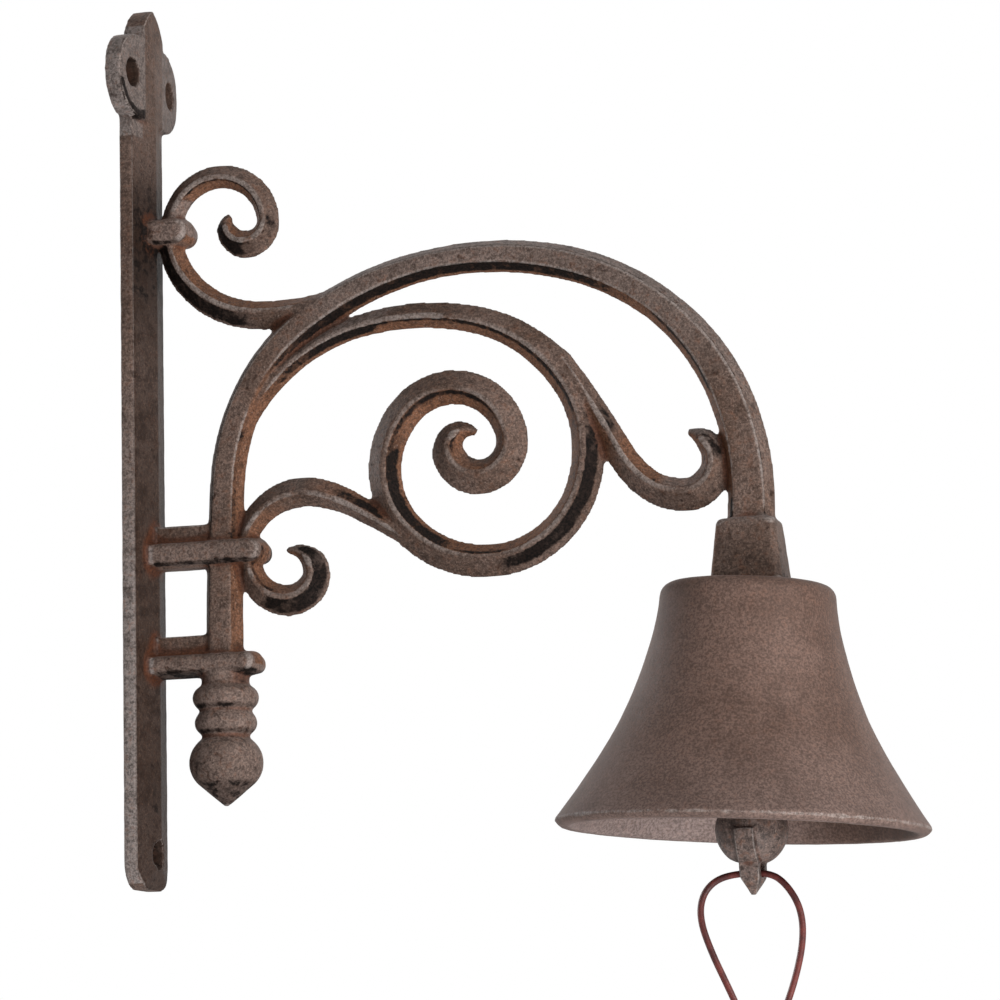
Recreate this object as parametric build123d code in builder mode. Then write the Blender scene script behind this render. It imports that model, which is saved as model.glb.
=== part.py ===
from build123d import *
import os
from math import cos, pi, radians, sin, tan

# Cast iron wall bell on a scroll bracket, in millimetres.
# The back of the wall plate lies on the plane X = 0, X points away from the wall and Z points up.
# The origin is midway between the two upper screw holes, and Y = 0 is the parting plane of the casting.

# Wall plate: a flat back and a front that slopes both ways from a crest
plate_half_width = 14.0
plate_edge = 4.8
plate_crest = 7.9
plate_bottom = 266.0
plate_end_round = 9.0
end_edge = 5.2
end_slope = 9.0
lobe_radius = 13.7
lobe_centre = 13.0
lobe_edge = 5.7
finial_rise = 11.4
finial_half = 10.2
finial_swell = (0.7, 0.5)
finial_edge = 7.2
screw_spacing = 34.0
screw_hole = 9.0
bottom_screw_up = 11.4

# Section of the cast bars: a flat or a ridge in front and behind, sloping to the parting line
arm_depth = 5.0
arm_slope = 2.8
ridge_depth = 4.8
ridge_flat = 1.6
ridge_flat_share = 0.3
ridge_shift = 0.8

# Main arm: the post runs up from the acorn and over to the bell
arm_start = (30.1, -199.1)
arm_heading = 90.7
arm_arcs = [
    (949.5, -3.8), (71.9, -25.2), (59.3, -27.4), (101.7, -27.8), (108.6, -22.4), (82.5, -25.1),
    (75.1, -28.2), (88.8, -25.7),
]
arm_widths = [13.2, 12.3, 12.2, 12.1, 10.4, 11.5, 11.9, 14.3, 15.8]

# Great scroll: it leaves the arm and coils to its middle
great_start = (37.1, -117.0)
great_heading = 61.6
great_arcs = [
    (60.2, -48.7), (82.0, -27.1), (52.6, -42.0), (39.8, -53.9), (32.0, -62.0), (36.6, -56.3),
    (28.3, -84.5), (20.3, -127.4), (10.9, -109.9), (10.6, -65.0), (6.0, -70.0), (6.0, -71.7),
]
great_widths = [7.6, 8.1, 9.4, 11.3, 11.5, 11.1, 11.2, 12.1, 11.2, 12.2, 11.6, 8.9, 2.4]

# Tail that branches from the great scroll and curls against the arm
tail_start = (137.9, -95.0)
tail_heading = -46.5
tail_arcs = [
    (63.3, -9.8), (315.0, -6.3), (35.9, 21.1), (20.9, 40.4), (9.7, 50.0), (9.7, 43.6),
    (10.2, 45.0), (10.2, 34.4),
]
tail_widths = [3.0, 7.2, 9.6, 10.2, 11.3, 11.6, 9.8, 7.6, 2.4]

# Bar from the upper tie to the foot of the great scroll
cross_start = (37.6, -153.6)
cross_heading = 70.9
cross_arcs = [(20.4, -58), (23.3, -29.1), (48.8, -13.5), (300, -5.6)]
cross_widths = [8.6, 10.4, 9.8, 8.4, 7.0]

# Small hook under the upper tie
hook_start = (38.2, -158.7)
hook_heading = -86.0
hook_arcs = [(27, 15.4), (13.3, 69), (9.9, 53.2), (7.2, 70.6), (8.8, 68)]
hook_widths = [9.0, 9.0, 10.9, 10.9, 9.0, 2.2]

# Scroll above the arm, tied to the plate
crown_start = (74.8, -74.7)
crown_heading = 208.0
crown_arcs = [
    (54.1, -22.1), (57.2, -16.4), (33.6, -46.2), (23.9, -51.8), (16.7, -157.9), (7.3, -100.0),
    (7.3, -73.7), (3.9, -66.9),
]
crown_widths = [7.0, 10.0, 9.9, 9.5, 8.4, 8.2, 10.0, 7.2, 2.6]

# Ties that wrap the scroll and the post, each with its end, middle height, height and depth
tie_start = 3.0
tie_slope = 10.0
tie_round = 2.4
tie_end_share = 0.48
collar = (21.2, -51.4, 10.2, 7.4)
upper_tie = (45.6, -158.2, 9.4, 8.0)
lower_tie = (43.0, -194.2, 8.2, 8.0)

# Webs behind the ties, each from its bottom to its top
web_depth = 3.6
upper_web = (-162.7, -148.6)
lower_web = (-197.8, -184.6)

# Turned drop and acorn under the post
acorn_top = -197.0
neck_radius = 7.8
neck_height = 4.2
bead_radius = 10.8
bead_height = 7.6
groove_radius = 8.4
groove_height = 1.0
lower_bead_radius = 10.2
lower_bead_height = 7.2
acorn_neck = 7.6
acorn_radius = 12.0
acorn_height = 22.6
acorn_shoulder = 7.6
acorn_taper = 14.6
acorn_taper_radius = 9.4

# Block at the end of the arm, and the seat of the bell, which leans a little
block_top = -158.0
block_top_x = 203.8
block_top_size = (18.8, 15.0)
block_bottom_size = (23.4, 18.0)
block_shift = 1.0
block_round = 2.6
block_top_round = 2.2
seat_x = 202.9
seat_z = -178.5
bell_lean = 3.0

# Bell: the flare gives how far out the wall is at a share of the height
bell_height = 77.0
bell_mouth = 58.6
bell_shoulder = 27.6
bell_shoulder_round = 4.5
bell_flare = [(0.29, 0.113), (0.56, 0.361), (0.783, 0.677)]
bell_wall = 3.4
bell_crown = 4.6
bell_lip = 2.0
bell_slope_top = (0.06, -1)
bell_slope_rim = (0.74, -1)

# Eye bolt through the bell's crown, with its washer and nut
bolt_radius = 4.0
bolt_fit = 0.1
bolt_grip = 12.0
washer_radius = 10.0
washer_thick = 1.6
nut_across = 13.0
nut_thick = 6.5
bolt_tail = 2.0
eye_wire = 1.8
eye_ring = 5.0

# Link between the bolt's eye and the clapper
link_wire = 1.5
link_ring = 6.5
link_gap = 0.3

# Clapper: eye, shank, ball, and a cast eye below for the cord
ball_radius = 11.4
ball_drop = 43.2
shank_radius = 2.8
tail_eye_wall = 3.2
tail_eye_thick = 6.4
tail_hole = 2.9
tail_tip_drop = 20.3
tail_corner = (0.8, 0.6)
tail_rib = 0.9
tail_tip_half = 1.0

# Leather pull cord and its knot
cord_diameter = 2.1
cord_gap = 0.35
cord_round = 0.45
cord_through = -268.2
cord_route = [
    (202.2, -325.4), (198.1, -315.2), (193.2, -303.8), (187.9, -292.3), (184.5, -282.3), (185.1, -275.0),
    (189.2, -270.1), (195.9, cord_through), (206.8, cord_through), (212.0, -271.9), (216.4, -279.5),
    (216.9, -289.3), (213.7, -302.0), (208.8, -314.0), (205.0, -325.4),
]
knot_x = 203.5
knot_top = -324.8
knot_radius = 3.5
knot_height = 7.0
knot_round = 1.4
knot_tails = [(-12.0, 14.0), (16.0, 18.0)]

os.makedirs("parts", exist_ok=True)


def heading_of(angle):
    """Direction in the plane of the casting, from an angle above +X."""
    return (cos(radians(angle)), sin(radians(angle)))


def bar_section(point, heading, width, flat, depth, shift):
    """Section of a bar at a point of its path, square to the heading."""
    along = heading_of(heading)
    deep = min(depth, width / 2)
    side = shift * min(1, width / depth / 2)
    square = Plane(origin=point, x_dir=(-along[1], 0, along[0]), z_dir=(along[0], 0, along[1]))
    with BuildSketch(square) as section:
        Polygon(
            (width / 2, 0), (side + flat / 2, deep), (side - flat / 2, deep),
            (-width / 2, 0), (side - flat / 2, -deep), (side + flat / 2, -deep),
            align=None,
        )
    return section.sketch


def bar(start, heading, arcs, widths, flats, depth, shift):
    """A cast bar along tangent arcs, each a radius and a turn, with the widths where they meet."""
    point = Vector(start[0], 0, start[1])
    near = bar_section(point, heading, widths[0], flats[0], depth, shift)
    with BuildPart() as made:
        for (radius, turn), width, flat in zip(arcs, widths[1:], flats[1:]):
            with BuildLine(Plane.XZ) as middle:
                arc = JernArc((point.X, point.Z), heading_of(heading), radius, turn)
            point = arc @ 1
            heading += turn
            far = bar_section(point, heading, width, flat, depth, shift)
            sweep(sections=[near, far], path=middle.line, multisection=True)
            near = far
    return made.part


def ridge_bar(start, heading, arcs, widths, side):
    """A scroll bar with a narrow ridge, which lies a little nearer the inner side of the curl."""
    flats = [min(ridge_flat, width * ridge_flat_share) for width in widths]
    return bar(start, heading, arcs, widths, flats, ridge_depth, side * ridge_shift)


def tie(end, middle, height, depth):
    """A rounded strap from the plate's face out to its round end."""
    with BuildPart() as made:
        with BuildSketch(Plane.XZ) as outline:
            with Locations(((tie_start + end) / 2, middle)):
                Rectangle(end - tie_start, height)
            fillet(outline.vertices(), height * tie_end_share)
        extrude(amount=depth, both=True, taper=tie_slope)
        fillet(made.faces().group_by(Axis.Y)[0].edges(), tie_round)
        fillet(made.faces().group_by(Axis.Y)[-1].edges(), tie_round)
    return made.part


def ring_of_wire(centre, axis, across, ring, wire):
    """A round wire bent into a ring about an axis, from a section square to the second axis."""
    side = Vector(axis).cross(Vector(across))
    with BuildPart() as made:
        with BuildSketch(Plane(origin=Vector(centre) + side * ring, x_dir=side, z_dir=across)):
            Circle(wire)
        revolve(axis=Axis(centre, axis))
    return made.part


# Bars of the bracket
arm_flats = [width - 2 * arm_slope for width in arm_widths]
arm = bar(arm_start, arm_heading, arm_arcs, arm_widths, arm_flats, arm_depth, 0)
great_scroll = ridge_bar(great_start, great_heading, great_arcs, great_widths, -1)
tail_scroll = ridge_bar(tail_start, tail_heading, tail_arcs, tail_widths, 1)
cross_bar = ridge_bar(cross_start, cross_heading, cross_arcs, cross_widths, -1)
hook_scroll = ridge_bar(hook_start, hook_heading, hook_arcs, hook_widths, 1)
crown_scroll = ridge_bar(crown_start, crown_heading, crown_arcs, crown_widths, -1)

# Wall plate
plate_top = lobe_radius + finial_rise
lobe_reach = lobe_centre + lobe_radius
with BuildPart() as head:
    # two lobes and a pointed finial, seen from the front
    with BuildSketch(Plane.YZ):
        with Locations((-lobe_centre, 0), (lobe_centre, 0)):
            Circle(lobe_radius)
        Rectangle(2 * lobe_centre, 2 * lobe_radius)
        with BuildLine():
            swell = (finial_half * finial_swell[0], lobe_radius + finial_rise * finial_swell[1])
            ThreePointArc((finial_half, lobe_radius), swell, (0, plate_top))
            ThreePointArc((0, plate_top), (-swell[0], swell[1]), (-finial_half, lobe_radius))
            Line((-finial_half, lobe_radius), (finial_half, lobe_radius))
        make_face()
    extrude(amount=plate_crest)
    with BuildSketch(Plane.XY.offset(-lobe_radius)):
        Polygon(
            (0, -lobe_reach), (lobe_edge, -lobe_reach), (plate_crest, 0), (lobe_edge, lobe_reach),
            (0, lobe_reach),
            align=None,
        )
    extrude(amount=lobe_radius + plate_top, mode=Mode.INTERSECT)

with BuildPart() as plate:
    # bar with a round end, whose front slopes more
    with BuildSketch(Plane.YZ) as outline:
        with Locations((0, -plate_bottom / 2)):
            Rectangle(2 * plate_half_width, plate_bottom)
        fillet(outline.vertices().group_by(Axis.Y)[0], plate_end_round)
    extrude(amount=plate_crest)
    with BuildSketch(Plane.XY.offset(-plate_bottom)):
        Polygon(
            (0, -plate_half_width), (plate_edge, -plate_half_width), (plate_crest, 0),
            (plate_edge, plate_half_width), (0, plate_half_width),
            align=None,
        )
    extrude(amount=plate_bottom, mode=Mode.INTERSECT)
    add(head.part)
    # crest that falls to the finial's tip and to the bottom end
    with BuildSketch(Plane.XZ):
        Polygon(
            (0, -plate_bottom), (end_edge, -plate_bottom), (plate_crest, -plate_bottom + end_slope),
            (plate_crest, lobe_radius - finial_rise / 2), (finial_edge, plate_top), (0, plate_top),
            align=None,
        )
    extrude(amount=lobe_reach, both=True, mode=Mode.INTERSECT)
    # screw holes
    with BuildSketch(Plane.YZ):
        with Locations((-screw_spacing / 2, 0), (screw_spacing / 2, 0), (0, bottom_screw_up - plate_bottom)):
            Circle(screw_hole / 2)
    extrude(amount=plate_crest, mode=Mode.SUBTRACT)

# Turned drop and acorn
post_x = arm_start[0]
bead_top = acorn_top - neck_height
bead_bottom = bead_top - bead_height
lower_bead_top = bead_bottom - groove_height
lower_bead_bottom = lower_bead_top - lower_bead_height
acorn_start = lower_bead_bottom - groove_height
acorn_tip = acorn_start - acorn_height
with BuildPart() as acorn:
    with BuildSketch(Plane.XZ.move(Location((post_x, 0, 0)))):
        with BuildLine():
            Polyline((0, acorn_top), (neck_radius, acorn_top), (neck_radius, bead_top))
            bead_middle = (bead_top + bead_bottom) / 2
            ThreePointArc((neck_radius, bead_top), (bead_radius, bead_middle), (groove_radius, bead_bottom))
            Line((groove_radius, bead_bottom), (groove_radius, lower_bead_top))
            ThreePointArc(
                (groove_radius, lower_bead_top),
                (lower_bead_radius, (lower_bead_top + lower_bead_bottom) / 2),
                (acorn_neck, lower_bead_bottom),
            )
            Line((acorn_neck, lower_bead_bottom), (acorn_neck, acorn_start))
            cup = ThreePointArc(
                (acorn_neck, acorn_start),
                (acorn_radius, acorn_start - acorn_shoulder),
                (acorn_taper_radius, acorn_start - acorn_taper),
            )
            Polyline(cup @ 1, (0, acorn_tip), (0, acorn_top))
        make_face()
    revolve(axis=Axis((post_x, 0, 0), (0, 0, 1)))

# Seat of the bell: up is the bell's own axis
lean = radians(bell_lean)
seat = Vector(seat_x, 0, seat_z)
bell_up = Vector(sin(lean), 0, cos(lean))
bell_out = Vector(cos(lean), 0, -sin(lean))
bell_axis = Axis(seat, bell_up)
bell_plane = Plane(origin=seat, x_dir=bell_out, z_dir=bell_up)
bell_section = Plane(origin=seat, x_dir=bell_out, z_dir=(0, -1, 0))

with BuildPart() as block:
    with BuildSketch(bell_plane):
        with Locations((block_shift, 0)):
            RectangleRounded(*block_bottom_size, block_round)
    with BuildSketch(Plane(origin=(block_top_x, 0, block_top))):
        RectangleRounded(*block_top_size, block_round)
    loft()
    fillet(block.faces().sort_by(Axis.Z)[-1].edges(), block_top_round)

with BuildPart() as bracket:
    add(plate.part)
    add(arm)
    add(acorn.part)
    for piece in (great_scroll, tail_scroll, cross_bar, hook_scroll, crown_scroll):
        add(piece)
    for end, middle, height, depth in (collar, upper_tie, lower_tie):
        add(tie(end, middle, height, depth))
    # webs between the plate and the post
    with BuildSketch(Plane.XZ):
        for bottom, top in (upper_web, lower_web):
            with Locations(((tie_start + post_x) / 2, (bottom + top) / 2)):
                Rectangle(post_x - tie_start, top - bottom)
    extrude(amount=web_depth, both=True)
    add(block.part)
    # hole for the bolt
    with BuildSketch(bell_plane):
        Circle(bolt_radius + bolt_fit)
    extrude(amount=bolt_grip + bolt_fit, mode=Mode.SUBTRACT)

# Bell
flare = bell_mouth - bell_shoulder
outer = [(bell_shoulder + share * flare, -drop * bell_height) for drop, share in bell_flare]
inner = [(radius - bell_wall, z) for radius, z in outer]
with BuildPart() as bell:
    with BuildSketch(bell_section):
        with BuildLine():
            hole = bolt_radius + bolt_fit
            round_start = bell_shoulder - bell_shoulder_round
            outer_top = (bell_shoulder, -bell_shoulder_round)
            rim = (bell_mouth, -bell_height + bell_lip)
            inner_top = (bell_shoulder - bell_wall, -bell_crown - bell_shoulder_round)
            inner_rim = (bell_mouth - bell_wall - bell_lip, -bell_height)
            Polyline((hole, -bell_crown), (hole, 0), (round_start, 0))
            RadiusArc((round_start, 0), outer_top, bell_shoulder_round)
            Spline(outer_top, *outer, rim, tangents=[bell_slope_top, bell_slope_rim])
            Polyline(rim, (bell_mouth - bell_lip, -bell_height), inner_rim)
            Spline(inner_top, *inner, inner_rim, tangents=[bell_slope_top, bell_slope_rim])
            inner_round = (bell_shoulder - bell_wall - bell_shoulder_round, -bell_crown)
            RadiusArc(inner_round, inner_top, bell_shoulder_round)
            Line(inner_round, (hole, -bell_crown))
        make_face()
    revolve(axis=bell_axis)

# Washer, nut and eye bolt under the bell's crown
nut_top = bell_crown + washer_thick
shank_end = nut_top + nut_thick + bolt_tail
eye_centre = seat - bell_up * (shank_end + eye_ring - eye_wire / 2)
with BuildPart() as bell_washer:
    with BuildSketch(bell_plane.offset(-bell_crown)):
        Circle(washer_radius)
        Circle(bolt_radius + bolt_fit, mode=Mode.SUBTRACT)
    extrude(amount=-washer_thick)

with BuildPart() as bell_nut:
    with BuildSketch(bell_plane.offset(-nut_top)):
        RegularPolygon(nut_across / 2, 6, major_radius=False)
        Circle(bolt_radius + bolt_fit, mode=Mode.SUBTRACT)
    extrude(amount=-nut_thick)

with BuildPart() as bell_bolt:
    with BuildSketch(bell_plane.offset(bolt_grip)):
        Circle(bolt_radius)
    extrude(amount=-(bolt_grip + shank_end))
    add(ring_of_wire(eye_centre, bell_out, (0, 1, 0), eye_ring, eye_wire))

# Link: it hangs on the lower bar of the bolt's eye, and swings about that bar
bar_centre = eye_centre - bell_up * eye_ring
hang = link_gap + eye_wire + link_wire
link_centre = bar_centre + Vector(0, 0, hang - link_ring)
with BuildPart() as clapper_link:
    add(ring_of_wire(link_centre, (0, 1, 0), (1, 0, 0), link_ring, link_wire))

# Clapper: its eye hangs on the lower wire of the link, and swings about that wire
wire_centre = link_centre - Vector(0, 0, link_ring)
clapper_eye = wire_centre + Vector(0, 0, hang - eye_ring)
ball_centre = wire_centre - Vector(0, 0, ball_drop)
ball_plane = Plane(origin=ball_centre, x_dir=(0, 1, 0), z_dir=(1, 0, 0))
tail_eye = cord_through - cord_diameter / 2 - cord_gap + tail_hole - ball_centre.Z
tail_eye_half = tail_hole + tail_eye_wall
with BuildPart() as clapper:
    with Locations(ball_centre):
        Sphere(ball_radius)
    with BuildSketch(Plane.XY.offset(ball_centre.Z)):
        with Locations((ball_centre.X, 0)):
            Circle(shank_radius)
    extrude(amount=clapper_eye.Z - eye_ring + eye_wire / 2 - ball_centre.Z)
    add(ring_of_wire(clapper_eye, (1, 0, 0), (0, 1, 0), eye_ring, eye_wire))
    # cast eye below the ball, with a pointed tip and ribs up both sides of the ball
    corner_half = tail_eye_half * tail_corner[0]
    corner_drop = tail_eye - tail_eye_half * tail_corner[1]
    with BuildSketch(ball_plane):
        with Locations((0, tail_eye)):
            Circle(tail_eye_half)
        Polygon(
            (-tail_eye_half, tail_eye), (-corner_half, corner_drop), (0, -tail_tip_drop),
            (corner_half, corner_drop), (tail_eye_half, tail_eye),
            (tail_eye_half, 0), (-tail_eye_half, 0),
            align=None,
        )
        Circle(ball_radius + tail_rib)
        with Locations((0, ball_radius)):
            Rectangle(4 * ball_radius, 2 * ball_radius, mode=Mode.SUBTRACT)
    extrude(amount=tail_eye_thick / 2, both=True)
    with BuildSketch(ball_plane):
        with Locations((0, tail_eye)):
            Circle(tail_hole)
    extrude(amount=tail_eye_thick, both=True, mode=Mode.SUBTRACT)
    # the tip is pointed from the other side too
    with BuildSketch(Plane.XZ.move(Location(ball_centre))):
        for side in (-1, 1):
            Polygon(
                (side * tail_eye_thick / 2, corner_drop), (side * tail_eye_thick, corner_drop),
                (side * tail_eye_thick, -tail_tip_drop), (side * tail_tip_half, -tail_tip_drop),
                align=None,
            )
    extrude(amount=tail_eye_thick, both=True, mode=Mode.SUBTRACT)

# Pull cord: straight runs joined by tangent arcs, cut level at the knot
corners = [Vector(x, 0, z) for x, z in cord_route]
cord_radii = []
for before, corner, after in zip(corners, corners[1:], corners[2:]):
    half_turn = (corner - before).get_angle(after - corner) / 2
    shorter = min((corner - before).length, (after - corner).length)
    cord_radii.append(cord_round * shorter / tan(radians(half_turn)))
print("cord radii", [round(radius, 1) for radius in cord_radii])
with BuildPart() as pull_cord:
    with BuildLine() as route:
        FilletPolyline(*corners, radius=cord_radii)
    with BuildSketch(Plane(origin=corners[0], z_dir=corners[1] - corners[0])):
        Circle(cord_diameter / 2)
    sweep(path=route.line)
    tube_volume = pull_cord.part.volume
    split(bisect_by=Plane.XY.offset(knot_top), keep=Keep.TOP)
tube_length = tube_volume / (pi * cord_diameter**2 / 4)
print("cord length", round(route.wires()[0].length, 1), "from its volume", round(tube_length, 1))

# Knot with its two short tails
with BuildPart() as cord_knot:
    with Locations((knot_x, 0, knot_top)):
        Cylinder(knot_radius, knot_height, align=(Align.CENTER, Align.CENTER, Align.MAX))
    fillet(cord_knot.edges().filter_by(GeomType.CIRCLE), knot_round)
    for tilt, length in knot_tails:
        along = (sin(radians(tilt)), 0, -cos(radians(tilt)))
        with BuildSketch(Plane(origin=(knot_x, 0, knot_top - knot_height / 2), z_dir=along)):
            Circle(cord_diameter / 2)
        extrude(amount=knot_height / 2 + length)

bracket.part.label = "bracket"
export_step(bracket.part, "parts/bracket.step")
bell.part.label = "bell"
export_step(bell.part, "parts/bell.step")
bell_bolt.part.label = "bell_bolt"
export_step(bell_bolt.part, "parts/bell_bolt.step")
bell_washer.part.label = "bell_washer"
export_step(bell_washer.part, "parts/bell_washer.step")
bell_nut.part.label = "bell_nut"
export_step(bell_nut.part, "parts/bell_nut.step")
clapper_link.part.label = "clapper_link"
export_step(clapper_link.part, "parts/clapper_link.step")
clapper.part.label = "clapper"
export_step(clapper.part, "parts/clapper.step")
pull_cord.part.label = "pull_cord"
export_step(pull_cord.part, "parts/pull_cord.step")
cord_knot.part.label = "cord_knot"
export_step(cord_knot.part, "parts/cord_knot.step")
print("link hinge", bar_centre)
print("clapper hinge", wire_centre)
print("ball", ball_centre)
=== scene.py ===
from collections import namedtuple
from math import cos, pi, radians, sin

import bmesh
import bpy
import numpy as np
from mathutils import Matrix, Vector, noise


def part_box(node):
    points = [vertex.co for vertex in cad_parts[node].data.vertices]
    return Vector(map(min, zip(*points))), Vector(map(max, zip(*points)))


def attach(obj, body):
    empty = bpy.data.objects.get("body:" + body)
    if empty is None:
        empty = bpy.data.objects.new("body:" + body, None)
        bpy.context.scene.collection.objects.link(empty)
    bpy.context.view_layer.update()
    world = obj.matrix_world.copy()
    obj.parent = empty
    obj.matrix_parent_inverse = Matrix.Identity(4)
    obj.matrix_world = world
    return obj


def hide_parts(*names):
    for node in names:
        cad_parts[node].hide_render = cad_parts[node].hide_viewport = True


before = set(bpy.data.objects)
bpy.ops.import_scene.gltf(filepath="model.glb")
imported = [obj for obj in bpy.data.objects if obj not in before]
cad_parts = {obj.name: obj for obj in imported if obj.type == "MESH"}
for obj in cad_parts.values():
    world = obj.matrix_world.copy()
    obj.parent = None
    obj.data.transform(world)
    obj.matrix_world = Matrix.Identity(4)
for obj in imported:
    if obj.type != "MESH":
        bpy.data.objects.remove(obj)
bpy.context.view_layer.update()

MM = 0.001

# The route of the lace, from the knot up through the clapper's eye and back down, in metres
CORD_DIAMETER = 2.1 * MM
CORD_ROUTE = [
    (0.2022, -0.3254), (0.1981, -0.3152), (0.1932, -0.3038), (0.1879, -0.2923), (0.1845, -0.2823),
    (0.1851, -0.2750), (0.1892, -0.2701), (0.1959, -0.2682), (0.2068, -0.2682), (0.2120, -0.2719),
    (0.2164, -0.2795), (0.2169, -0.2893), (0.2137, -0.3020), (0.2088, -0.3140), (0.2050, -0.3254),
]

# The knot, in mm but for its middle: its turns round both strands, and where its two ends go
KNOT_CENTRE = Vector((0.2035, 0, -0.3283))
KNOT_TURNS = 3
KNOT_STEPS = 12
KNOT_RADIUS = 2.35
KNOT_HEIGHT = 4.6
KNOT_ENDS = {
    "knot_end": ((-1.6, -9), (-3.3, -17)),
    "knot_end_long": ((2.4, -10), (5.4, -20)),
}

# The middle of the clapper in metres, the height of its foot in mm, and how much that narrows
CLAPPER_ACROSS = 0.201654
FOOT_HEIGHT = 5.5
FOOT_NARROWING = 0.8

# The plate's front, and its lobes' middles and outlines, in mm
PLATE_FRONT = 8.6
LOBE_MIDDLE = 13
LOBE_RADIUS = 13.1

# The screw holes: mm from the casting's middle plane and up, and how black and how dark the painted shade
# inside each is
SCREW_HOLES = ((-17, 0, 0.6, 0.9), (17, 0, 0.15, 0.5), (0, -254.6, 0.6, 0.9))
HOLE_REACH = 4.9

# The middle of each curl of the bracket and how far it reaches, in mm across and up
ARM_MIDDLE = (118, -135)
CURLS = [((38, -52), 36), ((182, -137), 21), ((53, -165), 17), (ARM_MIDDLE, 1000)]

# Black stains on the bars: the curl, from which to which angle, how far from the curl's middle,
# the side of the bar (1 outer, -1 inner), how deep the black starts, and how strong it is
Stain = namedtuple("Stain", "curl low high nearest farthest side start strength")
STAINS = [Stain(*row) for row in (
    (3, 40, 165, 58, 90, -1, 0.4, 1.0), (3, -60, 50, 58, 100, -1, 2.4, 0.95),
    (3, 150, 225, 58, 100, -1, 2.2, 0.7), (3, -60, 215, 58, 100, 1, 3.4, 0.85),
    (3, -90, 30, 20, 58, 1, 0.8, 1.0), (3, 150, 255, 20, 50, -1, 0.6, 1.0),
    (3, 10, 175, 20, 58, -1, 2.3, 0.9), (3, 235, 300, 20, 58, -1, 2.6, 0.85),
    (3, 50, 170, 8, 24, -1, 2.6, 0.85),
    (0, 150, 285, 0, 60, 1, 0, 1.0), (0, -100, 40, 0, 36, 1, 0.2, 0.6), (0, 10, 175, 0, 36, -1, 2.4, 0.9),
    (2, -140, 80, 0, 30, 1, 0, 0.95), (2, 50, 250, 0, 30, -1, 2.4, 0.8),
    (1, -120, 0, 0, 30, 1, 0.2, 0.5), (1, -20, 110, 0, 30, 1, 1.0, 0.7), (1, 170, 310, 0, 30, -1, 2.8, 0.7),
)]
STAIN_EDGE = 1.3

# Passes of smoothing for the surfaces that ridges and hollows are measured from
RIDGE_PASSES = 8
HOLLOW_PASSES = 90


def place_camera():
    """Stands the camera where the photograph was taken from."""
    yaw, pitch, roll = radians(16), radians(9.2), radians(1.2)
    level = Vector((cos(yaw), sin(yaw), 0))
    forward = Vector((-sin(yaw) * cos(pitch), cos(yaw) * cos(pitch), sin(pitch)))
    upright = level.cross(forward)
    right = cos(roll) * level - sin(roll) * upright
    up = sin(roll) * level + cos(roll) * upright
    data = bpy.data.cameras.new("camera")
    data.sensor_width = 36
    data.lens = 154.8
    data.clip_end = 20
    camera = bpy.data.objects.new("camera", data)
    turn = Matrix((right, up, -forward)).transposed().to_4x4()
    camera.matrix_world = Matrix.Translation((0.49452, -1.29532, -0.36493)) @ turn
    bpy.context.scene.collection.objects.link(camera)
    bpy.context.scene.camera = camera


def colour(red, green, blue):
    """A colour as it shows on screen, from 0 to 255, turned into the linear one that shaders take."""
    shown = (red, green, blue)
    return [*(((c / 255 + 0.055) / 1.055) ** 2.4 if c > 10 else c / 3294 for c in shown), 1]


# The colours of the iron's patina, of which the dark patina and the black also stand for painted shade
RUST = colour(122, 82, 58)
RUST_FLECK = colour(124, 84, 64)
RUST_IN_HOLLOWS = colour(88, 50, 32)
DARK_FLECK = colour(36, 28, 24)
DARK_BLOT = colour(42, 32, 27)
DARK_GRAIN = colour(40, 29, 25)
# Dark patina, and painted shade on the plate, in the screw holes and inside the bell
DARK_PATINA_AND_SHADE = colour(30, 17, 9)
DULL_GRAIN = colour(118, 95, 84)
BRIGHT_SPECK = colour(172, 152, 142)
RUBBED = colour(146, 136, 131)
# Black stains, and painted shade under the ties, the collar and the acorn, in the screw holes and round the
# near lobe
BLACK = colour(9, 7, 6)


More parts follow.
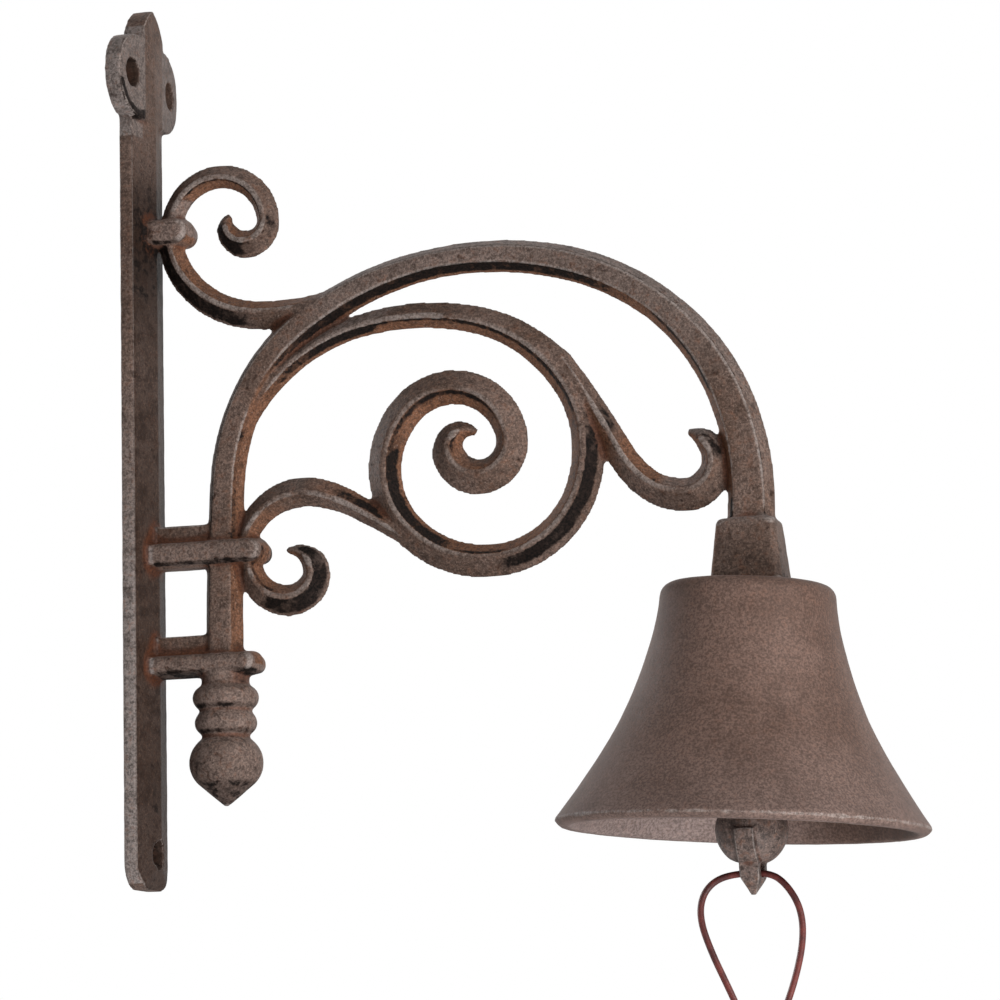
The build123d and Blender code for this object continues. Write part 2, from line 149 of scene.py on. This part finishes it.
class Shader:
    """A node material that is built up in order."""

    def __init__(self, name, metallic, specular):
        self.material = bpy.data.materials.new(name)
        self.material.use_nodes = True
        self.tree = self.material.node_tree
        self.surface = self.tree.nodes["Principled BSDF"]
        self.surface.inputs["Metallic"].default_value = metallic
        self.surface.inputs["Specular IOR Level"].default_value = specular
        self.place = self.node("ShaderNodeTexCoord").outputs["Object"]

    def node(self, kind, **settings):
        """Adds a node and sets its properties."""
        made = self.tree.nodes.new(kind)
        for key, value in settings.items():
            setattr(made, key, value)
        return made

    def link(self, value, socket):
        """Feeds a socket from another node, or sets it to a number or colour."""
        if isinstance(value, bpy.types.NodeSocket):
            self.tree.links.new(value, socket)
        else:
            socket.default_value = value

    def noise(self, size, detail=3, rough=0.55, distortion=0):
        """Grey noise whose lumps are about so many millimetres across."""
        made = self.node("ShaderNodeTexNoise")
        self.link(self.place, made.inputs["Vector"])
        made.inputs["Scale"].default_value = 1000 / size
        made.inputs["Detail"].default_value = detail
        made.inputs["Roughness"].default_value = rough
        made.inputs["Distortion"].default_value = distortion
        return made.outputs["Fac"]

    def attribute(self, name):
        """A value that was worked out for each point of the mesh."""
        return self.node("ShaderNodeAttribute", attribute_name=name).outputs["Fac"]

    def span(self, value, low, high, to_low=0, to_high=1):
        """Stretches a part of a value's range to another range, and clamps it there."""
        made = self.node("ShaderNodeMapRange", interpolation_type="SMOOTHSTEP")
        self.link(value, made.inputs["Value"])
        self.link(low, made.inputs["From Min"])
        self.link(high, made.inputs["From Max"])
        self.link(to_low, made.inputs["To Min"])
        self.link(to_high, made.inputs["To Max"])
        return made.outputs["Result"]

    def maths(self, operation, first, second):
        """Arithmetic on two values."""
        made = self.node("ShaderNodeMath", operation=operation)
        self.link(first, made.inputs[0])
        self.link(second, made.inputs[1])
        return made.outputs["Value"]

    def times(self, first, second):
        """One value multiplied by another."""
        return self.maths("MULTIPLY", first, second)

    def plus(self, first, second):
        """The sum of two values."""
        return self.maths("ADD", first, second)

    def mix(self, share, first, second):
        """Mixes two colours."""
        made = self.node("ShaderNodeMix", data_type="RGBA", blend_type="MIX")
        for socket, value in zip((made.inputs[0], made.inputs[6], made.inputs[7]), (share, first, second)):
            self.link(value, socket)
        return made.outputs[2]

    def finish(self, base, roughness, height, depth):
        """Connects the surface: its colour, its roughness, and a height so many millimetres deep."""
        bump = self.node("ShaderNodeBump")
        bump.inputs["Distance"].default_value = depth * MM
        self.link(height, bump.inputs["Height"])
        self.link(bump.outputs["Normal"], self.surface.inputs["Normal"])
        self.link(base, self.surface.inputs["Base Color"])
        self.link(roughness, self.surface.inputs["Roughness"])
        return self.material


def iron_material(name, light, dark, inside, mottle, sparkle, shine):
    """Cast iron with a brown patina: rust in the hollows, black stains and thin rubbed grey ridges, with
    painted shade and painted light from the values worked out for each point.
    """
    made = Shader(name, metallic=0.1, specular=shine)
    ridge = made.attribute("ridge")
    cloud = made.noise(26, detail=5, rough=0.6)
    blot = made.noise(6, detail=7, rough=0.75, distortion=0.4)
    flake = made.noise(2, detail=5, rough=0.7)
    grain = made.noise(0.8, detail=4, rough=0.7)
    speck = made.noise(0.5, detail=2)

    # Broad tones, then flakes and specks
    base = made.mix(made.span(cloud, 0.38, 0.62), light, dark)
    base = made.mix(made.times(made.attribute("warm"), 0.85), base, RUST)
    # Paler tone, and painted light on the bell's inside and lip, the arm's upward faces and the lobes
    base = made.mix(made.times(made.attribute("pale_and_painted_light"), 0.85), base, inside)
    base = made.mix(made.span(flake, 0.5, 0.68, 0, mottle), base, RUST_FLECK)
    base = made.mix(made.span(flake, 0.36, 0.52, mottle, 0), base, DARK_FLECK)
    base = made.mix(made.span(blot, 0.34, 0.52, mottle, 0), base, DARK_BLOT)
    base = made.mix(made.span(speck, 0.56, 0.74, 0, sparkle), base, BRIGHT_SPECK)

    # Dark patina and painted shade, then rust in the hollows
    patchy_patina_and_shade = made.times(made.attribute("dark_patina_and_painted_shade"), made.span(blot, 0.34, 0.62, 0.96, 0.62))
    base = made.mix(patchy_patina_and_shade, base, DARK_PATINA_AND_SHADE)
    base = made.mix(made.span(grain, 0.54, 0.74, 0, mottle * 0.6), base, DULL_GRAIN)
    hollow = made.span(made.attribute("hollow"), 0.05, 0.6)
    base = made.mix(made.times(hollow, 0.7), base, RUST_IN_HOLLOWS)

    # Black stains and painted shade, which break up along the noise, then rubbed ridges
    patchy = made.plus(made.span(blot, 0.3, 0.7, 0, 0.4), made.span(flake, 0.3, 0.7, 0, 0.25))
    soaked_and_shaded = made.plus(patchy, made.times(made.attribute("black_wash_and_shade"), 0.75))
    black = made.span(soaked_and_shaded, 0.66, 1.02)
    base = made.mix(black, base, BLACK)
    rub = made.times(made.span(ridge, 0.56, 0.78), made.span(flake, 0.34, 0.54, 0.2, 0.75))
    base = made.mix(rub, base, RUBBED)
    base = made.mix(made.span(grain, 0.38, 0.62, 0.55, 0), base, DARK_GRAIN)

    roughness = made.maths("SUBTRACT", made.span(grain, 0.2, 0.8, 0.42, 0.66), made.times(rub, 0.15))
    roughness = made.plus(roughness, made.times(black, 0.12))
    height = made.plus(made.times(grain, 0.7), made.times(speck, 0.3))
    return made.finish(base, roughness, height, 0.2)


def steel_material(name):
    """Dark dull steel with a little brown bloom."""
    made = Shader(name, metallic=0.85, specular=0.5)
    cloud = made.noise(4, detail=4)
    grain = made.noise(0.5, detail=3)
    base = made.mix(made.span(cloud, 0.45, 0.65), colour(96, 92, 90), colour(88, 66, 52))
    base = made.mix(made.span(grain, 0.4, 0.7, 0, 0.4), base, colour(48, 44, 42))
    return made.finish(base, made.span(cloud, 0.3, 0.7, 0.36, 0.6), grain, 0.05)


def leather_material(name):
    """Dark red-brown round leather lace."""
    made = Shader(name, metallic=0, specular=0.4)
    cloud = made.noise(5, detail=3)
    grain = made.noise(0.35, detail=4, rough=0.65)
    base = made.mix(made.span(cloud, 0.35, 0.65), colour(104, 44, 38), colour(70, 28, 26))
    base = made.mix(made.span(grain, 0.4, 0.75, 0, 0.5), base, colour(38, 16, 15))
    return made.finish(base, made.span(grain, 0.3, 0.7, 0.42, 0.62), grain, 0.06)


def angle_window(angle, low, high):
    """One between two angles in degrees, and nothing beyond, with soft ends."""
    turn = np.abs((angle - (low + high) / 2 + 180) % 360 - 180)
    return np.clip(((high - low) / 2 - turn) / 35 + 0.4, 0, 1)


def curl_tones(across, up, depth, normals):
    """How warm and how black each point of the bars is, from the curl that it belongs to."""
    slope = np.clip((1 - np.abs(normals[:, 1])) * 5, 0, 1)
    warm, black_wash_and_shade = np.zeros(len(across)), np.zeros(len(across))
    left = np.ones(len(across))
    for number, ((middle_across, middle_up), reach) in enumerate(CURLS):
        away = np.stack([across - middle_across, up - middle_up], axis=1)
        far = np.linalg.norm(away, axis=1) + 0.001
        share = np.clip((reach - far) / 6 + 0.5, 0, 1) * left
        left = left - share
        outward = (away * normals[:, [0, 2]]).sum(axis=1) / far * 1.8
        warm += share * slope * np.clip(-outward, 0, 1)
        angle = np.degrees(np.arctan2(away[:, 1], away[:, 0]))
        for stain in STAINS:
            if stain.curl == number:
                near_enough = (far > stain.nearest) * (far < stain.farthest)
                there = angle_window(angle, stain.low, stain.high) * near_enough
                facing = slope * np.clip(stain.side * outward, 0, 1)
                band = np.clip((depth - stain.start) / STAIN_EDGE, 0, 1)
                black_wash_and_shade = np.maximum(black_wash_and_shade, share * there * facing * band * stain.strength)
    return warm, black_wash_and_shade


def bracket_tones(points, normals):
    """How black, how warm, how dark and how much paler each point of the bracket is, from its place and its
    side; the black, dark and paler values hold painted shade and painted light as well as patina.
    """
    across, up, depth = points[:, 0] / MM, points[:, 2] / MM, np.abs(points[:, 1]) / MM
    outward, sideways, upward = normals.T
    warm, black_wash_and_shade = curl_tones(across, up, depth, normals)

    plate = across < PLATE_FRONT
    front = plate & (outward > 0.3)
    edge = plate & (np.abs(sideways) > 0.6)
    lobes = plate & (up > -20) & (depth > 8)
    collar = (np.abs(up + 47) < 6) & (across < 24)
    fittings = (across < 47) & ((up < -195) | collar | (depth > 5.3))
    acorn = fittings & (up < -225)
    block = (across > 188) & (up < -158)
    arm_radius = np.hypot(across - ARM_MIDDLE[0], up - ARM_MIDDLE[1])
    arm = np.clip((arm_radius - 58) / 3, 0, 1) * np.clip((across - 46) / 26, 0, 1)

    # Black: painted shade on the downward faces of the ties, the collar and the acorn; black wash on the
    # plate, with painted shadow on its front round and below the collar; and more black low on the block
    black_wash_and_shade = np.where(fittings, np.clip(-upward * 1.5 - 0.3, 0, 0.8) * np.where(acorn, 0.9, 1), black_wash_and_shade)
    black_wash_and_shade = np.where(plate, 0.1 + front * (0.2 + 0.45 * np.clip(1.2 - np.abs(up + 58) / 35, 0, 1)), black_wash_and_shade)
    black_wash_and_shade = np.where(block, 0.2 + 0.45 * np.clip((-166 - up) / 14, 0, 1), black_wash_and_shade)
    warm = np.where(plate, 0, np.where(fittings, 0.25, warm))

    # The plate's front is dark, from dark patina and painted shadow, most of all below its head; its far
    # slope has painted shade; its sides are darker higher up and paler low down
    dark_patina_and_painted_shade = front * np.clip(0.35 - (up + 14) / 40, 0.35, 1) + edge * np.clip((up + 110) / 100, 0, 0.3)
    far_slope = plate & (points[:, 1] > 0) & (sideways > 0.3) & (outward > 0.2)
    dark_patina_and_painted_shade = np.maximum(dark_patina_and_painted_shade, far_slope * 0.8)
    pale_and_painted_light = edge * np.clip((-90 - up) / 80, 0, 1)

    # Pale: painted light on the arm's upward faces and on the lobes, and the arm's flats paler higher up
    pale_and_painted_light = np.maximum(pale_and_painted_light, arm * np.clip(upward, 0, 1) * 0.8)
    pale_and_painted_light = np.maximum(pale_and_painted_light, arm * (np.abs(sideways) > 0.9) * np.clip((up + 120) / 100, 0, 0.3))
    pale_and_painted_light = np.maximum(pale_and_painted_light, (lobes & (outward > -0.5)) * np.where(front, 0.7, 1))

    # A painted shadow line round the foot of the near lobe, and a few black blots everywhere else
    near_lobe = front & lobes & (points[:, 1] < 0) & (up < -3)
    rim_shadow_line = np.clip(2.4 - np.abs(np.hypot(depth - LOBE_MIDDLE, up) - LOBE_RADIUS), 0, 1)
    black_wash_and_shade = np.maximum(black_wash_and_shade, near_lobe * rim_shadow_line)
    black_wash_and_shade = np.maximum(black_wash_and_shade, np.where(acorn, 0.52, 0.42) * (pale_and_painted_light < 0.6))
    pale_and_painted_light = np.maximum(pale_and_painted_light, fittings * ~plate * 0.35)

    # Painted shade inside the screw holes, black and dark
    for hole_along, hole_up, hole_black_shade, hole_dark_shade in SCREW_HOLES:
        hole = plate & (np.hypot(points[:, 1] / MM - hole_along, up - hole_up) < HOLE_REACH)
        black_wash_and_shade = np.where(hole, hole_black_shade, black_wash_and_shade)
        dark_patina_and_painted_shade = np.where(hole, hole_dark_shade, dark_patina_and_painted_shade)
        pale_and_painted_light = np.where(hole, 0, pale_and_painted_light)
    return black_wash_and_shade, warm, dark_patina_and_painted_shade, pale_and_painted_light


def bell_tones(points, normals):
    """The bell's painted light and shade: paler inside, most of all on the side of the wall, with painted
    shade inside on the other side, and painted light outside towards its lip.
    """
    low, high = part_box("bell")
    away = points[:, :2] - np.array([(low[0] + high[0]) / 2, 0])
    inward = -(away * normals[:, :2]).sum(axis=1) / np.linalg.norm(away, axis=1)
    inside = np.clip(inward * 3, 0, 1)
    side = away[:, 0] / (60 * MM)
    lip_painted_light = (1 - inside) * np.clip((low[2] + 30 * MM - points[:, 2]) / (30 * MM), 0, 1) * 0.3
    nothing = np.zeros(len(points))
    # Painted shade inside, away from the wall, and painted light inside on the wall side and outside towards
    # the lip
    dark_patina_and_painted_shade = inside * np.clip(side, 0, 0.5)
    pale_and_painted_light = inside * np.clip(0.4 - side, 0, 0.9) + lip_painted_light
    return nothing, nothing, dark_patina_and_painted_shade, pale_and_painted_light


def plain_tones(points, normals):
    """No tones at all."""
    return np.zeros((4, len(points)))


def bracket_rubbing(points, ridge):
    """The bracket's ridges, less rubbed on the plate and along the bars' parting line."""
    across, up, depth = points[:, 0] / MM, points[:, 2] / MM, np.abs(points[:, 1]) / MM
    on_bars = (across > PLATE_FRONT) & ((up > -140) | (across > 45))
    elsewhere = np.where(across < PLATE_FRONT, 0.62, 0.85)
    return ridge * np.where(on_bars, np.clip(depth - 2.5, 0, 1), elsewhere)


def neighbours_mean(points, edges, counts):
    """The mean place of each point's neighbours."""
    total = np.empty_like(points)
    for axis in range(3):
        first = np.bincount(edges[:, 0], points[edges[:, 1], axis], len(points))
        second = np.bincount(edges[:, 1], points[edges[:, 0], axis], len(points))
        total[:, axis] = first + second
    return total / counts[:, None]


def smoothed(points, edges, counts, passes):
    """The points after so many passes of plain smoothing."""
    for _ in range(passes):
        points = (points + neighbours_mean(points, edges, counts)) / 2
    return points


def remeshed(node, voxel):
    """A CAD node's mesh made anew in even square faces, so many millimetres across."""
    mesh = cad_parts[node].data.copy()
    weld = bmesh.new()
    weld.from_mesh(mesh)
    bmesh.ops.remove_doubles(weld, verts=weld.verts, dist=0.001 * MM)
    weld.to_mesh(mesh)
    weld.free()
    rough = bpy.data.objects.new(node + "_rough", mesh)
    bpy.context.scene.collection.objects.link(rough)
    modifier = rough.modifiers.new("cast", "REMESH")
    modifier.mode = "VOXEL"
    modifier.voxel_size = voxel * MM
    evaluated = rough.evaluated_get(bpy.context.evaluated_depsgraph_get())
    made = bpy.data.meshes.new_from_object(evaluated)
    bpy.data.objects.remove(rough)
    return made


def read_values(items, key, width, kind=float):
    """A value of each mesh item, as rows of so many numbers."""
    values = np.empty(len(items) * width, dtype=kind)
    items.foreach_get(key, values)
    return values.reshape(-1, width)


def part_of(name, node, points, faces, marks):
    """A smooth mesh piece from some faces of a casting, with the values of its points."""
    used, places = np.unique(faces, return_inverse=True)
    made = bpy.data.meshes.new(name)
    made.from_pydata(points[used].tolist(), [], places.reshape(faces.shape).tolist())
    for key, values in marks.items():
        layer = made.attributes.new(key, "FLOAT", "POINT")
        layer.data.foreach_set("value", np.clip(values[used], 0, 1).astype(np.float32))
    made.polygons.foreach_set("use_smooth", np.ones(len(made.polygons), dtype=bool))
    made.update()
    piece = bpy.data.objects.new(name, made)
    bpy.context.scene.collection.objects.link(piece)
    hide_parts(node)
    return piece


def cast_copy(node, names, voxel, rounding, lumps, ridge_size, hollow_size, tones=plain_tones, cut=0):
    """Rebuilds a CAD node as a casting with rounded edges and a slightly uneven skin.

    It is cut in two, at so many metres from the wall, if it has two names.
    """
    made = remeshed(node, voxel)
    points = read_values(made.vertices, "co", 3)
    edges = read_values(made.edges, "vertices", 2, np.int64)
    faces = read_values(made.loops, "vertex_index", 1, np.int64).reshape(-1, 4)
    counts = np.bincount(edges.ravel(), minlength=len(points)).astype(float)
    points = smoothed(points, edges, counts, rounding)
    made.vertices.foreach_set("co", points.ravel())
    made.update()
    normals = read_values(made.vertex_normals, "vector", 3)

    # How far each point stands out of, or lies in, a smoother copy of the surface
    near = smoothed(points, edges, counts, RIDGE_PASSES)
    far = smoothed(near, edges, counts, HOLLOW_PASSES)
    ridge = ((points - near) * normals).sum(axis=1) / (ridge_size * MM)
    marks = {
        "ridge": bracket_rubbing(points, ridge) if node == "bracket" else ridge,
        "hollow": -((points - far) * normals).sum(axis=1) / (hollow_size * MM),
    }
    # Black wash and painted shade, rust, dark patina and painted shade, and paler tone and painted light
    marks.update(zip(("black_wash_and_shade", "warm", "dark_patina_and_painted_shade", "pale_and_painted_light"), tones(points, normals)))

    # Lumps of the sand mould, only ever inwards, so that the piece keeps its size
    coarse_and_fine = [noise.noise(Vector(p) * 160) + 0.5 * noise.noise(Vector(p) * 420) for p in points]
    swell = (np.array(coarse_and_fine) + 1) / 2 * lumps * MM
    points = points - normals * swell[:, None]
    low, high = (np.array(corner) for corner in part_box(node))
    points = np.clip(points, low, high)
    if node == "clapper":
        share = np.clip((low[2] + FOOT_HEIGHT * MM - points[:, 2]) / (FOOT_HEIGHT * MM), 0, 1)
        from_middle = points[:, 0] - CLAPPER_ACROSS
        points[:, 0] = CLAPPER_ACROSS + from_middle * (1 - FOOT_NARROWING * share)

    if len(names) == 1:
        return [part_of(names[0], node, points, faces, marks)]
    beyond = points[faces].mean(axis=1)[:, 0] > cut
    return [part_of(name, node, points, faces[group], marks) for name, group in zip(names, (~beyond, beyond))]


def line_of(name, points, diameter, order):
    """A round NURBS curve through the air near its points."""
    data = bpy.data.curves.new(name, "CURVE")
    data.dimensions = "3D"
    data.bevel_depth = diameter / 2
    data.bevel_resolution = 5
    data.resolution_u = 16
    data.use_fill_caps = True
    spline = data.splines.new("NURBS")
    spline.points.add(len(points) - 1)
    for point, place in zip(spline.points, points):
        point.co = (*place, 1)
    spline.order_u = order
    spline.use_endpoint_u = True
    piece = bpy.data.objects.new(name, data)
    bpy.context.scene.collection.objects.link(piece)
    return piece


def add_area_light(name, place, target, size, power, tint):
    """A soft square light aimed at a point."""
    data = bpy.data.lights.new(name, "AREA")
    data.size = size
    data.energy = power
    data.color = tint
    light = bpy.data.objects.new(name, data)
    light.location = place
    light.rotation_euler = (Vector(target) - Vector(place)).to_track_quat("-Z", "Y").to_euler()
    light.visible_camera = False
    bpy.context.scene.collection.objects.link(light)


def light_world(ambient):
    """A white world behind the object, which lights it less than it shows."""
    world = bpy.data.worlds.new("world")
    bpy.context.scene.world = world
    world.use_nodes = True
    tree = world.node_tree
    background = tree.nodes["Background"]
    background.inputs["Color"].default_value = (1, 1, 1, 1)
    path = tree.nodes.new("ShaderNodeLightPath")
    seen = path.outputs["Is Camera Ray"]
    for ray in ("Is Glossy Ray", "Is Transmission Ray"):
        either = tree.nodes.new("ShaderNodeMath")
        either.operation = "MAXIMUM"
        tree.links.new(seen, either.inputs[0])
        tree.links.new(path.outputs[ray], either.inputs[1])
        seen = either.outputs["Value"]
    strength = tree.nodes.new("ShaderNodeMapRange")
    tree.links.new(seen, strength.inputs["Value"])
    strength.inputs["To Min"].default_value = ambient
    strength.inputs["To Max"].default_value = 1
    tree.links.new(strength.outputs["Result"], background.inputs["Strength"])


def add_floor(height, size, glow):
    """A plain pale floor under the object, which shows a little brighter than it is lit."""
    mesh = bpy.data.meshes.new("floor")
    corners = [(x * size, y * size, height) for x, y in ((-1, -1), (1, -1), (1, 1), (-1, 1))]
    mesh.from_pydata(corners, [], [(0, 1, 2, 3)])
    floor = bpy.data.objects.new("floor", mesh)
    bpy.context.scene.collection.objects.link(floor)
    made = Shader("floor", metallic=0, specular=0.2)
    made.surface.inputs["Base Color"].default_value = (0.72, 0.72, 0.72, 1)
    made.surface.inputs["Roughness"].default_value = 0.8
    made.surface.inputs["Emission Color"].default_value = (1, 1, 1, 1)
    seen = made.node("ShaderNodeLightPath").outputs["Is Camera Ray"]
    made.link(made.times(seen, glow), made.surface.inputs["Emission Strength"])
    mesh.materials.append(made.material)


# Camera and cord
place_camera()
lace = line_of("lace", [(x, 0, z) for x, z in CORD_ROUTE], CORD_DIAMETER, 3)
leather = leather_material("leather")
lace.data.materials.append(leather)
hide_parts("pull_cord")
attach(lace, "clapper")

# Knot: turns of the lace round both strands, and its two ends
turns = []
last_step = KNOT_TURNS * KNOT_STEPS
for step in range(last_step + 1):
    angle = step / KNOT_STEPS * 2 * pi
    rise = (step / last_step - 0.5) * KNOT_HEIGHT
    turns.append(KNOT_CENTRE + Vector((KNOT_RADIUS * cos(angle), KNOT_RADIUS * sin(angle), -rise)) * MM)
knot = line_of("knot", turns, CORD_DIAMETER, 3)
ends = []
for name, route in KNOT_ENDS.items():
    places = [KNOT_CENTRE, *(KNOT_CENTRE + Vector((x, 0, z)) * MM for x, z in route)]
    ends.append(line_of(name, places, CORD_DIAMETER, 3))
for piece in (knot, *ends):
    piece.data.materials.append(leather)
    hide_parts("cord_knot")
    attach(piece, "clapper")

# Castings
bracket_iron = iron_material(
    "bracket_iron", light=colour(121, 102, 93), dark=colour(101, 82, 72), inside=colour(148, 140, 137),
    mottle=0.5, sparkle=0.35, shine=0.08,
)
bracket_parts = cast_copy(
    "bracket", ("bracket_wall_side", "bracket_bell_side"), voxel=0.65, rounding=3, lumps=0.16,
    ridge_size=0.2, hollow_size=1.1, tones=bracket_tones, cut=48 * MM,
)
for piece in bracket_parts:
    piece.data.materials.append(bracket_iron)
    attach(piece, "bracket")

bell_iron = iron_material(
    "bell_iron", light=colour(116, 94, 85), dark=colour(101, 80, 71), inside=colour(156, 140, 136),
    mottle=0.16, sparkle=0.12, shine=0.12,
)
bell, = cast_copy(
    "bell", ["bell_casting"], voxel=0.85, rounding=2, lumps=0.12,
    ridge_size=0.34, hollow_size=1.6, tones=bell_tones,
)
bell.data.materials.append(bell_iron)
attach(bell, "bracket")

clapper_iron = iron_material(
    "clapper_iron", light=colour(124, 108, 102), dark=colour(92, 76, 70), inside=colour(130, 120, 116),
    mottle=0.7, sparkle=0.6, shine=0.3,
)
clapper, = cast_copy(
    "clapper", ["clapper_casting"], voxel=0.4, rounding=3, lumps=0.14,
    ridge_size=0.13, hollow_size=0.5,
)
clapper.data.materials.append(clapper_iron)
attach(clapper, "clapper")

# Fixings keep their CAD shape
steel = steel_material("steel")
for node in ("bell_bolt", "bell_washer", "bell_nut", "clapper_link"):
    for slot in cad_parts[node].material_slots:
        slot.material = steel

# Stage
add_floor(-1, 6, 0.28)
light_world(0.24)
middle = (0.12, 0, -0.16)
add_area_light("key", (2.0, -1.15, 0.75), middle, size=1.1, power=43, tint=(1, 0.98, 0.96))
add_area_light("low", (1.0, -0.75, -0.97), (1.0, -0.75, 0), size=0.8, power=29, tint=(1, 0.98, 0.97))
add_area_light("side", (-2.0, 0.48, 0.5), middle, size=0.9, power=40, tint=(0.97, 0.98, 1))
bpy.context.scene.view_settings.view_transform = "Standard"
